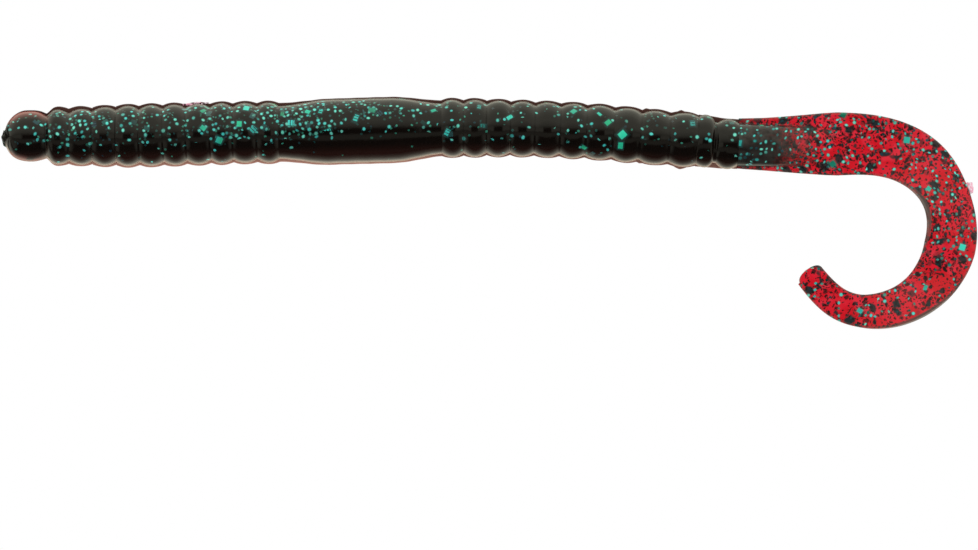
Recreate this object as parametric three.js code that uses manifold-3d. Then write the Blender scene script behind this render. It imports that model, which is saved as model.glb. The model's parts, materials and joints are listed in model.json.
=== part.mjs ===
// Ribbon-tail soft plastic worm, a fishing lure.
// Lengths are in millimetres, +X runs from nose to tail and +Z up through the back.
//
// The lure is one flexible casting of two bonded pours: a dark back half above the parting plane z = 0 and a
// red belly half below it, which runs on alone as the flat ribbon tail. It flexes at the grooves between its
// rings and along its ribbon, so it is modelled as a chain of short segments. A body segment ends in a ball,
// and the next one's socket turns round it. A ribbon segment ends in a disc or in a knuckle.
//
// The origin is the middle of the trimmed gate's face, on the nose. Each segment is a group whose origin is
// the pivot at its rear end, so a group's position and turn about Z give that joint's place and direction.

import * as THREE from "three";
import { mergeVertices } from "three/addons/utils/BufferGeometryUtils.js";
import Module from "manifold-3d";

// ---- Driving dimensions ----

// Lengths along the spine
const GATE_LENGTH = 0.75;
const HEAD_LENGTH = 6.4; // nose to first groove, gate included
const FRONT_RINGS = 10;
const FRONT_PITCH = 3.48;
const SADDLE_LENGTH = 23.9;
const REAR_PITCHES = { first: 3.3, last: 4.34, count: 10 }; // the rings grow longer towards the tail
const END_RING_LENGTHS = [2.7, 3.4]; // the last two rings are short again
const ROOT_LENGTH = 14; // where the body thins down onto the ribbon
const RIBBON_SEGMENTS = 8;

// Radii of the round body
const GATE_RADIUS = 1.1;
const NOSE_FLAT_RADIUS = 1.9; // flat of the nose round the gate
const HEAD_RADIUS = 3.85;
const HEAD_WIDEST = 0.66; // share of the head's length at which it is widest
const NECK_RADIUS = 3.55; // groove behind the head
const FRONT_CRESTS = [4.35, 4.7, 4.65]; // front rings, at CREST_PLACES
const REAR_CRESTS = [4.5, 4.3, 4.2]; // full-length rear rings, at CREST_PLACES
const CREST_PLACES = [0, 0.4, 1]; // shares of the way along a row of rings
const END_RING_CRESTS = [3.95, 3.75];
const GROOVE_DEPTH = 0.55;
const SADDLE_END_RADIUS = 4.15;
const SADDLE_RADIUS = 4.95;
const SADDLE_TAPER = 7.5; // length of the slope at each end of the saddle
const BELLY_FLAT = 4.72; // depth at which the soft belly lies flat
const RIDGE_RADIUS = 3.3; // the body where it meets the ribbon
const RIDGE_FALL = 1.8; // how late the ridge thins down: 1 is a straight slope

// The flat ribbon
const RIBBON_THICKNESS = 1.3;
const RIBBON_HALF_WIDTHS = [3.85, 4.7, 3.95, 3.9, 2.4, 2.15]; // at RIBBON_STATIONS along the spine
const RIBBON_STATIONS = [110, 124, 142, 151, 169, 178];
const TIP_CAP = { length: 1.0, share: 0.82 }; // rounded tab on the ribbon's end, and its share of the width
const TAB_OVERLAP = 0.2; // how far the tab starts inside the ribbon, so that the two join
// The stub left by the mould's vent
const VENT = { segment: 3, radius: 0.5, tipRadius: 0.3, reach: 0.8, station: 143.4 };

// The spine at rest, in the parting plane: a nearly straight body, then the curl
const BODY_PATH = [[0, 0.45], [8, 0.45], [20, 0.55], [34, 0.95], [52, 1.2], [65, 1.65], [76, 1.6], [87, 1.15],
  [98, 0.2], [108, -0.5], [118, -0.85]];
// The curl is an arc about (x, y). Its radius opens evenly by a share, and tightens late by another.
const CURL = {
  x: 128.4,
  y: -13.15,
  radius: 12.45,
  turn: 233, // degrees
  open: 0.03,
  tighten: 0.15,
  lateness: 6,
  steps: 7,
};

// Joints
const CLEARANCE = 0.3; // between a socket and its ball, or a ribbon segment and the next
const NECK_PIVOT = FRONT_PITCH / 2; // pivot's distance ahead of the groove behind the head
const SADDLE_PIVOT = 1.7; // and ahead of the groove behind the saddle
const DISC_PIVOT = 2.6; // ribbon pivots that turn in the parting plane, ahead of their seam
const KNUCKLES = [0, 4]; // ribbon joints that flap out of the plane: ahead of the first and the fifth segment

// Mesh fineness
const ROUND_FACETS = 14; // twice an odd number, so one facet faces straight down
const HEAD_STEPS = [GATE_LENGTH, 1.3, 2.1, 3.1, 4.6, 5.6, HEAD_LENGTH];
const LOBE_STEPS = 4;
const SLOPE_STEPS = 4;
const RIDGE_STEPS = 6;
const BALL_STEPS = 3;
const SPHERE_STEPS = 8;
const DISC_FACETS = 28;
const KNUCKLE_FACETS = 12;
const TAB_STEPS = 8;
const STUB_FACETS = 8;
const STRIP_STEP = 1.4;
const SPINE_DIVISIONS = 2000;
const WELD = 1e-4; // points this close are one corner

// ---- Materials ----

const MATERIALS = {
  back: new THREE.MeshStandardMaterial({ color: 0x16110f, roughness: 0.3, metalness: 0 }),
  belly: new THREE.MeshStandardMaterial({ color: 0x4a0f10, roughness: 0.3, metalness: 0 }),
  ribbon: new THREE.MeshStandardMaterial({ color: 0xd81a2c, roughness: 0.35, metalness: 0 }),
};

// ---- Solids ----

const wasm = await Module();
wasm.setup();

/** A closed three.js geometry as a manifold-3d solid. */
function solid(geometry) {
  const bare = geometry.index ? geometry.toNonIndexed() : geometry.clone();
  for (const name of Object.keys(bare.attributes)) if (name !== "position") bare.deleteAttribute(name);
  const merged = mergeVertices(bare, WELD);
  const vertProperties = merged.attributes.position.array;
  const triVerts = new Uint32Array(merged.index.array);
  return new wasm.Manifold(new wasm.Mesh({ numProp: 3, vertProperties, triVerts }));
}

/** A manifold-3d solid as a flat-shaded three.js geometry. */
function geometryOf(made) {
  const { vertProperties, triVerts } = made.getMesh();
  const indexed = new THREE.BufferGeometry();
  indexed.setAttribute("position", new THREE.BufferAttribute(vertProperties, 3));
  indexed.setIndex(new THREE.BufferAttribute(triVerts, 1));
  const geometry = indexed.toNonIndexed();
  geometry.computeVertexNormals();
  return geometry;
}

function box(size, centre) {
  return solid(new THREE.BoxGeometry(...size).translate(...centre));
}

/** A round solid about the X axis, from [x, radius] points that start and end on the axis, front to rear. */
function roundSolid(profile) {
  const points = profile.map(([x, radius]) => new THREE.Vector2(radius, x));
  return solid(new THREE.LatheGeometry(points, ROUND_FACETS, Math.PI / 2).rotateZ(-Math.PI / 2));
}

// ---- The spine ----

function curlPoints() {
  const points = [];
  for (let i = 0; i <= CURL.steps; i++) {
    const share = i / CURL.steps;
    const angle = THREE.MathUtils.degToRad(90 - CURL.turn * share);
    const radius = CURL.radius * (1 + CURL.open * share - CURL.tighten * share ** CURL.lateness);
    points.push([CURL.x + radius * Math.cos(angle), CURL.y + radius * Math.sin(angle)]);
  }
  return points;
}

const spine = new THREE.CatmullRomCurve3(
  [...BODY_PATH, ...curlPoints()].map(([x, y]) => new THREE.Vector3(x, y, 0)),
  false,
  "centripetal",
);
spine.arcLengthDivisions = SPINE_DIVISIONS;
const SPINE_LENGTH = spine.getLength();

/** The point at a distance along the spine, and the spine's direction there as a turn about Z. */
function station(distance) {
  const share = THREE.MathUtils.clamp(distance / SPINE_LENGTH, 0, 1);
  const tangent = spine.getTangentAt(share);
  return { point: spine.getPointAt(share), turn: Math.atan2(tangent.y, tangent.x) };
}

function toLocal(frame, point) {
  return point.clone().sub(frame.point).applyAxisAngle(new THREE.Vector3(0, 0, 1), -frame.turn);
}

/** A smooth value between those given at evenly or unevenly spaced places. */
function eased(places, values, place) {
  if (place <= places[0]) return values[0];
  for (let i = 1; i < places.length; i++) {
    if (place > places[i]) continue;
    const share = THREE.MathUtils.smoothstep(place, places[i - 1], places[i]);
    return THREE.MathUtils.lerp(values[i - 1], values[i], share);
  }
  return values.at(-1);
}

// ---- The segments of the round body ----

/** Every body segment, nose to tail: its start and end on the spine, its pivot, and its outline's radius. */
function bodySegments() {
  const segments = [];
  let start = 0;
  const add = (name, length, pivotBack, radiusAt, steps) => {
    segments.push({ name, start, end: start + length, pivot: start + length - pivotBack, radiusAt, steps });
    start += length;
  };
  const addRing = (name, length, crest) => {
    const lobe = (x) => crest - GROOVE_DEPTH * ((2 * x) / length - 1) ** 2;
    add(name, length, length / 2, lobe, evenSteps(length, LOBE_STEPS));
  };
  add("head", HEAD_LENGTH, NECK_PIVOT, headRadius, HEAD_STEPS);
  for (let i = 0; i < FRONT_RINGS; i++) {
    const share = i / (FRONT_RINGS - 1);
    addRing(numbered("front_ring", i), FRONT_PITCH, eased(CREST_PLACES, FRONT_CRESTS, share));
  }
  add("saddle", SADDLE_LENGTH, SADDLE_PIVOT, saddleRadius, saddleSteps());
  for (let i = 0; i < REAR_PITCHES.count; i++) {
    const share = i / (REAR_PITCHES.count - 1);
    const length = THREE.MathUtils.lerp(REAR_PITCHES.first, REAR_PITCHES.last, share);
    addRing(numbered("rear_ring", i), length, eased(CREST_PLACES, REAR_CRESTS, share));
  }
  END_RING_LENGTHS.forEach((length, i) => {
    addRing(numbered("rear_ring", REAR_PITCHES.count + i), length, END_RING_CRESTS[i]);
  });
  return segments;
}

function numbered(stem, index) {
  return stem + "_" + String(index + 1).padStart(2, "0");
}

function evenSteps(length, count) {
  return Array.from({ length: count + 1 }, (_, i) => (length * i) / count);
}

/** The head: a blunt dome from the nose flat to its widest place, then down to the neck groove. */
function headRadius(x) {
  const widest = HEAD_WIDEST * HEAD_LENGTH;
  if (x > widest) {
    const share = (x - widest) / (HEAD_LENGTH - widest);
    return HEAD_RADIUS - (HEAD_RADIUS - NECK_RADIUS) * share ** 2;
  }
  const share = (widest - x) / (widest - GATE_LENGTH);
  return NOSE_FLAT_RADIUS + (HEAD_RADIUS - NOSE_FLAT_RADIUS) * Math.sqrt(1 - share ** 2);
}

/** The saddle: a smooth collar with a level middle and a slope at each end. */
function saddleRadius(x) {
  const fromEnd = Math.min(x, SADDLE_LENGTH - x);
  return eased([0, SADDLE_TAPER], [SADDLE_END_RADIUS, SADDLE_RADIUS], fromEnd);
}

function saddleSteps() {
  const slope = evenSteps(SADDLE_TAPER, SLOPE_STEPS);
  return [...slope, ...slope.map((x) => SADDLE_LENGTH - x).reverse()];
}

/** A segment's outline in its own frame, where x = 0 is its pivot, closed behind by the ball. */
function segmentProfile(segment) {
  const outer = segment.steps.map((x) => [segment.start + x - segment.pivot, segment.radiusAt(x)]);
  const [rimX, rimRadius] = outer.at(-1);
  const ballRadius = Math.hypot(rimX, rimRadius);
  const rimAngle = Math.atan2(rimRadius, rimX);
  const ball = [];
  for (let i = 1; i <= BALL_STEPS; i++) {
    const angle = rimAngle * (1 - i / BALL_STEPS);
    ball.push([ballRadius * Math.cos(angle), i === BALL_STEPS ? 0 : ballRadius * Math.sin(angle)]);
  }
  return { profile: [[outer[0][0], 0], ...outer, ...ball], ballRadius };
}

/** The hollow that turns round the ball of the segment ahead, in this segment's frame. */
function socket(frame, ahead) {
  const ball = new THREE.SphereGeometry(ahead.ballRadius + CLEARANCE, ROUND_FACETS, SPHERE_STEPS);
  const centre = toLocal(frame, ahead.frame.point);
  ball.rotateY(Math.PI / ROUND_FACETS).rotateZ(-Math.PI / 2).rotateX(Math.PI / 2);
  return solid(ball.translate(centre.x, centre.y, 0));
}

const HALF_SPACE = 60; // wider than any segment
const abovePlane = box([HALF_SPACE, HALF_SPACE, HALF_SPACE], [0, 0, HALF_SPACE / 2]);
const belowPlane = box([HALF_SPACE, HALF_SPACE, HALF_SPACE], [0, 0, -HALF_SPACE / 2]);
const belowBellyFlat = box([HALF_SPACE, HALF_SPACE, HALF_SPACE], [0, 0, -HALF_SPACE / 2 - BELLY_FLAT]);

// ---- The ribbon ----

function ribbonHalfWidth(distance) {
  return eased(RIBBON_STATIONS, RIBBON_HALF_WIDTHS, distance);
}

/** A stretch of the flat ribbon between two places on the spine, in a segment's frame. */
function strip(frame, from, to) {
  const count = Math.max(1, Math.round((to - from) / STRIP_STEP));
  const left = [];
  const right = [];
  for (let i = 0; i <= count; i++) {
    const distance = from + ((to - from) * i) / count;
    left.push(edgePoint(frame, distance, 1));
    right.unshift(edgePoint(frame, distance, -1));
  }
  return extruded(new THREE.Shape([...right, ...left]));
}

function edgePoint(frame, distance, side) {
  const { point, turn } = station(distance);
  const width = side * ribbonHalfWidth(distance);
  const edge = point.clone().add(new THREE.Vector3(-Math.sin(turn) * width, Math.cos(turn) * width, 0));
  const local = toLocal(frame, edge);
  return new THREE.Vector2(local.x, local.y);
}

/** A flat outline as a plate of the ribbon's thickness, centred on the parting plane. */
function extruded(shape) {
  const geometry = new THREE.ExtrudeGeometry(shape, { depth: RIBBON_THICKNESS, bevelEnabled: false });
  return solid(geometry.translate(0, 0, -RIBBON_THICKNESS / 2));
}

/** A disc or a hollow for a joint that turns in the parting plane, taller than the ribbon is thick. */
function upright(radius, centre) {
  const height = 3 * RIBBON_THICKNESS;
  const cylinder = new THREE.CylinderGeometry(radius, radius, height, DISC_FACETS).rotateX(Math.PI / 2);
  return solid(cylinder.translate(centre.x, centre.y, 0));
}

/** The rounded end of a segment whose joint flaps out of the plane, across the whole ribbon. */
function knuckle(halfWidth) {
  const radius = RIBBON_THICKNESS / 2;
  return solid(new THREE.CylinderGeometry(radius, radius, 2 * halfWidth, KNUCKLE_FACETS));
}

/** Everything ahead of a flat face that just clears a knuckle, for a segment that starts behind it. */
function aheadOfKnuckle(frame, knuckleFrame) {
  const reach = 2 * Math.max(...RIBBON_HALF_WIDTHS);
  const face = RIBBON_THICKNESS / 2 + CLEARANCE;
  const block = new THREE.BoxGeometry(reach, 2 * reach, reach).translate(face - reach / 2, 0, 0);
  const centre = toLocal(frame, knuckleFrame.point);
  return solid(block.rotateZ(knuckleFrame.turn - frame.turn).translate(centre.x, centre.y, 0));
}

/** The radius of a ribbon disc: from the pivot to the ribbon's edge at the seam. */
function discRadius(pivot) {
  return Math.hypot(DISC_PIVOT, ribbonHalfWidth(pivot + DISC_PIVOT));
}

/** The tab on the ribbon's tip, a half ellipse narrower than the ribbon. */
function tipCap(frame) {
  const { point, turn } = station(SPINE_LENGTH);
  const centre = toLocal(frame, point);
  const reach = TIP_CAP.share * ribbonHalfWidth(SPINE_LENGTH);
  const curve = new THREE.EllipseCurve(0, 0, TIP_CAP.length, reach, -Math.PI / 2, Math.PI / 2);
  const corners = [-reach, reach].map((y) => new THREE.Vector2(-TAB_OVERLAP, y));
  const outline = [corners[0], ...curve.getPoints(TAB_STEPS), corners[1]];
  const tab = extruded(new THREE.Shape(outline));
  const degrees = THREE.MathUtils.radToDeg(turn - frame.turn);
  return tab.rotate([0, 0, degrees]).translate([centre.x, centre.y, 0]);
}

/** The stub where the vent left the ribbon's outer edge. */
function ventStub(frame) {
  const { point, turn } = station(VENT.station);
  const away = ribbonHalfWidth(VENT.station);
  const root = point.clone().add(new THREE.Vector3(-Math.sin(turn) * away, Math.cos(turn) * away, 0));
  const centre = toLocal(frame, root);
  const length = 2 * VENT.reach;
  const stub = new THREE.CylinderGeometry(VENT.tipRadius, VENT.radius, length, STUB_FACETS);
  return solid(stub.rotateZ(turn - frame.turn).translate(centre.x, centre.y, 0));
}

// ---- Assembly ----

const worm = new THREE.Group();
worm.name = "worm";

/** Adds a segment's group at its pivot, holding one named mesh for each of its pieces. */
function addGroup(name, frame, pieces) {
  const group = new THREE.Group();
  group.name = name;
  group.position.copy(frame.point);
  group.rotation.z = frame.turn;
  for (const [nodeName, piece, material] of pieces) {
    const mesh = new THREE.Mesh(geometryOf(piece), MATERIALS[material]);
    mesh.name = nodeName;
    group.add(mesh);
  }
  worm.add(group);
}

function halves(name, whole) {
  return [
    [name + "_back", whole.intersect(abovePlane), "back"],
    [name + "_belly", whole.intersect(belowPlane), "belly"],
  ];
}

/** The trimmed gate on the nose. It sits to one side of the head's axis, with its face on the origin. */
function gateStub(frame) {
  const stub = new THREE.CylinderGeometry(GATE_RADIUS, GATE_RADIUS, GATE_LENGTH, ROUND_FACETS);
  const face = toLocal(frame, new THREE.Vector3());
  return solid(stub.rotateZ(Math.PI / 2).translate(face.x + GATE_LENGTH / 2, face.y, 0));
}

function addBody() {
  let ahead = null;
  for (const segment of bodySegments()) {
    const frame = station(segment.pivot);
    const { profile, ballRadius } = segmentProfile(segment);
    let whole = roundSolid(profile);
    if (ahead) whole = whole.subtract(socket(frame, ahead));
    if (segment.name === "saddle") whole = whole.subtract(belowBellyFlat);
    const pieces = halves(segment.name, whole);
    if (segment.name === "head") pieces.push(["nose_gate", gateStub(frame), "back"]);
    addGroup(segment.name, frame, pieces);
    ahead = { frame, ballRadius, end: segment.end };
  }
  return ahead;
}

/** The tail root: the body thins down as a ridge on the ribbon's start. Its pivot is the first knuckle. */
function addTailRoot(ahead) {
  const pivot = ahead.end + ROOT_LENGTH;
  const frame = station(pivot);
  const ridge = evenSteps(1, RIDGE_STEPS).map((share) => [
    -ROOT_LENGTH * (1 - share),
    THREE.MathUtils.lerp(RIDGE_RADIUS, RIBBON_THICKNESS / 2, share ** RIDGE_FALL),
  ]);
  const round = roundSolid([[-ROOT_LENGTH, 0], ...ridge, [0, 0]]);
  const plate = strip(frame, ahead.end, pivot);
  const whole = round.add(plate).subtract(socket(frame, ahead)).add(knuckle(ribbonHalfWidth(pivot)));
  addGroup("tail_root", frame, halves("tail_root", whole));
  return { frame, end: pivot };
}

/** The ribbon segments. Each starts clear of the joint ahead and ends in its own disc, knuckle or tip. */
function addRibbon(root) {
  const pitch = (SPINE_LENGTH - root.end) / RIBBON_SEGMENTS;
  let ahead = root;
  for (let i = 0; i < RIBBON_SEGMENTS; i++) {
    const isTip = i === RIBBON_SEGMENTS - 1;
    const pivot = isTip ? SPINE_LENGTH : root.end + pitch * (i + 1);
    const frame = station(pivot);
    const centreAhead = toLocal(frame, ahead.frame.point);
    let whole = strip(frame, ahead.end, pivot);
    if (KNUCKLES.includes(i)) whole = whole.subtract(aheadOfKnuckle(frame, ahead.frame));
    else whole = whole.subtract(upright(discRadius(ahead.end) + CLEARANCE, centreAhead));
    if (KNUCKLES.includes(i + 1)) whole = whole.add(knuckle(ribbonHalfWidth(pivot)));
    else if (!isTip) whole = whole.add(discEnd(frame, pivot, pitch));
    if (isTip) whole = whole.add(tipCap(frame));
    if (i + 1 === VENT.segment) whole = whole.add(ventStub(frame));
    addGroup(numbered("ribbon", i), frame, [[numbered("ribbon", i), whole, "ribbon"]]);
    ahead = { frame, end: pivot };
  }
}

/** The part of the ribbon behind a pivot that lies within its disc. */
function discEnd(frame, pivot, pitch) {
  const disc = upright(discRadius(pivot), { x: 0, y: 0 });
  return strip(frame, pivot - STRIP_STEP, pivot + pitch).intersect(disc);
}

addRibbon(addTailRoot(addBody()));

export default worm;
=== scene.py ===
"""A ringed soft plastic worm with a ribbon tail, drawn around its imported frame. Lengths are in millimetres
until a mesh is made. A place on the lure is (s, across, up), where s is how far it is along the spine."""

import json
import math

import bpy
import numpy as np
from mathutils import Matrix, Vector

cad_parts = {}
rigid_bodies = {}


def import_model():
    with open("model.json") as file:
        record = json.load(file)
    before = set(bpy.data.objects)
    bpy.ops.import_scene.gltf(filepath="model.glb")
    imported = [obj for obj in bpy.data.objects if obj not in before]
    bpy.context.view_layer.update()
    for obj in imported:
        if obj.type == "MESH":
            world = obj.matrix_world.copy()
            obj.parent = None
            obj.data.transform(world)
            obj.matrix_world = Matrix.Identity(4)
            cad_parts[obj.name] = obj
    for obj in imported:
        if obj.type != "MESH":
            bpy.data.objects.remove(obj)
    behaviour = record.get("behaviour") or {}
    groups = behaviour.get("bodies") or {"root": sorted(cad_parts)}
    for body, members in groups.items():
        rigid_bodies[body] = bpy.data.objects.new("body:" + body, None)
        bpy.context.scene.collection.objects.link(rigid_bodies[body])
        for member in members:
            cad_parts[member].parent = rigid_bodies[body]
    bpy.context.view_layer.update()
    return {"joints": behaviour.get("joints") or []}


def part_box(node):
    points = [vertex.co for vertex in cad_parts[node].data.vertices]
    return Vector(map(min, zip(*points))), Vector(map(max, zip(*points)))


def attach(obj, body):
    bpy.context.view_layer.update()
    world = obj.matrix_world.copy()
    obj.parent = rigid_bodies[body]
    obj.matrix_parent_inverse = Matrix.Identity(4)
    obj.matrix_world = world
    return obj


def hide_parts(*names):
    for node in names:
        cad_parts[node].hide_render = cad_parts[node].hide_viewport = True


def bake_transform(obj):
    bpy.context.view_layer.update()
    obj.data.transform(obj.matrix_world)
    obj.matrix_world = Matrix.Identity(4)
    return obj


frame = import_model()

MM = 0.001

# ---- Driving dimensions ----

FRONT_RINGS, REAR_RINGS, RIBBON_JOINTS = 10, 12, 8
FIRST_REAR_PITCH = 3.3
FACET_FLAT = math.cos(math.pi / 14)  # a fourteen-sided ring's height over its corner radius
SPINE_STEPS = 6000
TIP_TURN = 1.1  # how much more the spine turns at its tip than at the last joint
BODY_RADIUS = 4.3  # about, for spacing the mesh round the body

GROOVE_DEPTH = 0.6
GROOVE_FILLET = 0.9  # share of the half ring after which the lobe eases into its groove
BELLY_SEAM_GROOVE = 0.36  # depth of the belly's grooves where they meet the parting line
BELLY_PAD = math.radians(50)  # half angle of the belly's ring pads, from straight down
BELLY_FADE = math.radians(24)
BELLY_PAD_TAPER = 0.2  # how much narrower, in radians, a pad is in its groove than at its crest
SEAM_ROUND = 0.14  # radius of each half's lip at the parting line
# The back (1) and the belly (-1) don't quite line up. How far each is off centre towards +Y, and undersize:
REGISTER_STATIONS = [0, 3, 5, 8, 40, 46, 60, 66, 101, 104, 107]
OFF_CENTRE = {
    1: [0, 0.06, 0.06, 0.02, 0.02, -0.04, -0.04, 0.0, 0.0, 0.1, -0.17],
    -1: [0, 0.16, 0.16, 0.07, 0.07, -0.07, -0.04, 0.09, 0.09, 0.07, -0.09],
}
UNDERSIZE = {
    1: [0, 0.04, 0.04, 0.17, 0.17, 0.21, 0.21, 0.2, 0.2, 0.02, 0.02],
    -1: [0, -0.01, -0.01, -0.08, -0.08, 0.05, 0.02, 0.01, 0.01, 0.09, 0.05],
}
NECK_STEP, NECK_STEP_AT, NECK_STEP_SPREAD = 0.1, 9.5, 3.5  # the back's extra step behind the head
NECK_STEP_RISE = 2.5

NOSE_TIP, HEAD_WIDEST, HEAD_RADIUS, NOSE_POWER, HEAD_FALL = 0.2, 4.3, 3.8, 2.6, 0.42
NECK_DIPS = {1: (0.1, 0.55), -1: (0.05, 0.7)}  # depth ahead of and behind the neck groove, for back and belly
NECK_SPREADS = (0.5, 0.85)
SADDLE_CROWN, SADDLE_TAPER, SADDLE_FLUSH = 4.97, 7.4, -0.6
# The last two rings' sections, and each lobe's middle, half length and roundness:
END_RINGS = {22: (104.35, 1.22, 0.6), 23: (107.75, 1.65, 0.95)}
END_NECK_STATIONS = [103.3, 105.9, 107.75, 109.4]
END_NECK_SIDES, END_NECK_TOPS = [3.45, 3.05, 3.05, 3.1], [3.45, 3.1, 3.7, 3.6]
# Corners along the parting line: s, half length, height and side.
TICKS = [(95.2, 0.5, 0.2, 1), (100.5, 0.45, 0.2, 1), (94.9, 0.4, 0.2, -1), (100.9, 0.9, 0.28, -1)]
TICK_ANGLE, TICK_POWER = 1.2, 0.7
SKIN_RIPPLE, PLATE_RIPPLE = 0.03, 0.02
RIPPLE_FADE = (0.5, 2)  # s over which the body's ripple sets in
THINNEST = 0.02

RIBBON_THICKNESS = 1.3
RIBBON_CORNER = 0.35
CORNER_SHARE = 0.45  # the most of the half width that a corner takes
RIBBON_STATIONS = [109.4, 113, 116, 119, 122, 124, 133, 142, 151, 160, 169, 178]
RIBBON_HALF_WIDTHS = [3.73, 3.9, 4.12, 4.36, 4.6, 4.7, 4.32, 3.95, 3.88, 3.2, 2.4, 2.15]
RISE_START, RISE_END, RISE_FLOOR = 109.0, 112.0, 0.06  # where its upper face rises out of the parting plane
RIDGE_STATIONS = [109.4, 112, 115, 118, 121, 125, 128]
RIDGE_POWER = 2.8
RIDGE_TOP = [3.6, 3.3, 2.7, 1.8, 1.1, 0.66, 0.5]
RIDGE_UNDER = [3.45, 3.2, 2.8, 2.3, 1.6, 0.85, 0.5]
RIDGE_HALF_WIDTHS = [3.2, 3.16, 3.12, 3.0, 2.8, 2.5, 2.2]
RIDGE_OFF_CENTRE = -0.24
RIDGE_FILLET = 0.12
RIDGE_MARGIN = (0.1, 0.7)  # the ridge's foot fades out over this stretch outside its half width
LEANS = [(144, 7.5, -26), (160.5, 6.5, 22)]  # where the ribbon leans: middle, spread and degrees
WALL_BAND = (0.38, 0.22)  # how far in from the ribbon's edge its wall's shade starts and is full
WALL_LEAST, WALL_LEAN = 0.3, 0.65
CORE_FADE = (111.6, 124.5)  # where the dark pour gives way to red
CORE_EDGE = 0.12
ROOT_SHADE = (108.5, 114.0)  # where the red beside it comes out of the dark (x)
STREAK_START = (110.0, 118.0)  # where it starts to show red streaks (x)

VENT_STATION = 143.4
VENT_OVERHANG = 0.3  # how far the middle of the vent stub lies outside the ribbon's edge
VENT_SIZE = (1.75, 1.4, 0.8)
GATE_OFFSET, GATE_SIZE, GATE_TURN = (0.25, 0.1, 0), (1.6, 2.5, 1.5), 0.25
TAB_START, TAB_REACH = 0.35, 0.55  # how far the tab starts ahead of the spine's end, and ends past it
TAB_SHARES = (0.84, 0.97)  # of the ribbon's half width, on its outer and inner side
FLASH = [(27.6, (1.5, 0.32, 0.2)), (29.0, (1.1, 0.24, 0.16)), (30.1, (1.2, 0.2, 0.16))]  # s and size
FLASH_HEIGHT = 0.02

HEAD_ROWS, HEAD_CROWDING, SADDLE_ROWS, RING_ROWS = 44, 1.5, 76, 26  # of each piece's mesh, along s
ROOT_ROWS, RIBBON_ROWS, TIP_ROWS = 70, 32, 48
LUMP_ROWS, LUMP_COLUMNS = 13, 20
CORNER_STEPS, FACE_STEPS = 7, 61

# ---- The frame's places ----


def numbered(name, count):
    return [f"{name}_{i + 1:02d}" for i in range(count)]


CHAIN = ["head", *numbered("front_ring", FRONT_RINGS), "saddle", *numbered("rear_ring", REAR_RINGS)]
CHAIN += ["tail_root", *numbered("ribbon", RIBBON_JOINTS)]
PIVOT_OF_PAIR = {frozenset((j["parent"], j["child"])): np.array(j["pos_m"]) / MM for j in frame["joints"]}
PIVOTS = [PIVOT_OF_PAIR[frozenset(pair)] for pair in zip(CHAIN, CHAIN[1:])]


def node_box(node):
    low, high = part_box(node)
    return np.array(low) / MM, np.array(high) / MM


def travelled(points):
    """Distance along a line of points to each of them."""
    return np.concatenate([[0], np.cumsum(np.linalg.norm(np.diff(points, axis=0), axis=1))])


class Spine:
    """A smooth curve through the joints' pivots, in the parting plane."""

    def __init__(self, points):
        points = np.array(points)[:, :2]
        knots = travelled(points)
        self.places = self.cubic(knots, points, np.linspace(0, knots[-1], SPINE_STEPS))
        self.s = travelled(self.places)
        heading = np.gradient(self.places, self.s, axis=0)
        self.turn = np.unwrap(np.arctan2(heading[:, 1], heading[:, 0]))
        self.length = self.s[-1]

    @staticmethod
    def cubic(knots, points, wanted):
        """A natural cubic spline."""
        n = len(knots)
        gap = np.diff(knots)
        system = np.eye(n)
        right = np.zeros((n, 2))
        for i in range(1, n - 1):
            system[i, i - 1 : i + 2] = gap[i - 1], 2 * (gap[i - 1] + gap[i]), gap[i]
            slope_after = (points[i + 1] - points[i]) / gap[i]
            slope_before = (points[i] - points[i - 1]) / gap[i - 1]
            right[i] = 6 * (slope_after - slope_before)
        second = np.linalg.solve(system, right)
        k = np.clip(np.searchsorted(knots, wanted) - 1, 0, n - 2)
        h = gap[k][:, None]
        a = (knots[k + 1] - wanted)[:, None] / h
        b = 1 - a
        bow = ((a**3 - a) * second[k] + (b**3 - b) * second[k + 1]) * h**2 / 6
        return a * points[k] + b * points[k + 1] + bow

    def at(self, s):
        """(x, y, turn) of the spine at s, running straight on past either end."""
        inside = np.clip(s, 0, self.length)
        past = s - inside
        turn = np.interp(inside, self.s, self.turn)
        x = np.interp(inside, self.s, self.places[:, 0]) + past * np.cos(turn)
        y = np.interp(inside, self.s, self.places[:, 1]) + past * np.sin(turn)
        return x, y, turn

    def nearest(self, point):
        return self.s[np.argmin(np.linalg.norm(self.places - point[:2], axis=1))]

    def world(self, s, across, up):
        """Points at s along the spine, across to its left and up, in metres."""
        x, y, turn = self.at(s)
        return np.stack([x - across * np.sin(turn), y + across * np.cos(turn), up + 0 * x], -1) * MM


def make_spine():
    saddle_low, saddle_high = node_box("saddle_back")
    rings = FRONT_RINGS + 1  # pivots ahead of the saddle's middle
    middle = (PIVOTS[rings - 1] + PIVOTS[rings]) / 2
    middle[1] = (saddle_low[1] + saddle_high[1]) / 2
    nose = np.array([0, PIVOTS[0][1], 0])
    last, before = PIVOTS[-1] - PIVOTS[-2], PIVOTS[-2] - PIVOTS[-3]
    bend = math.atan2(last[1], last[0]) - math.atan2(before[1], before[0])
    bend = (bend + math.pi) % (2 * math.pi) - math.pi
    cos, sin = math.cos(TIP_TURN * bend), math.sin(TIP_TURN * bend)
    tip = PIVOTS[-1] + np.array([last[0] * cos - last[1] * sin, last[0] * sin + last[1] * cos, 0])
    return Spine([nose] + PIVOTS[:rings] + [middle] + PIVOTS[rings:] + [tip])


SPINE = make_spine()
STATIONS = [SPINE.nearest(p) for p in PIVOTS]


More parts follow.
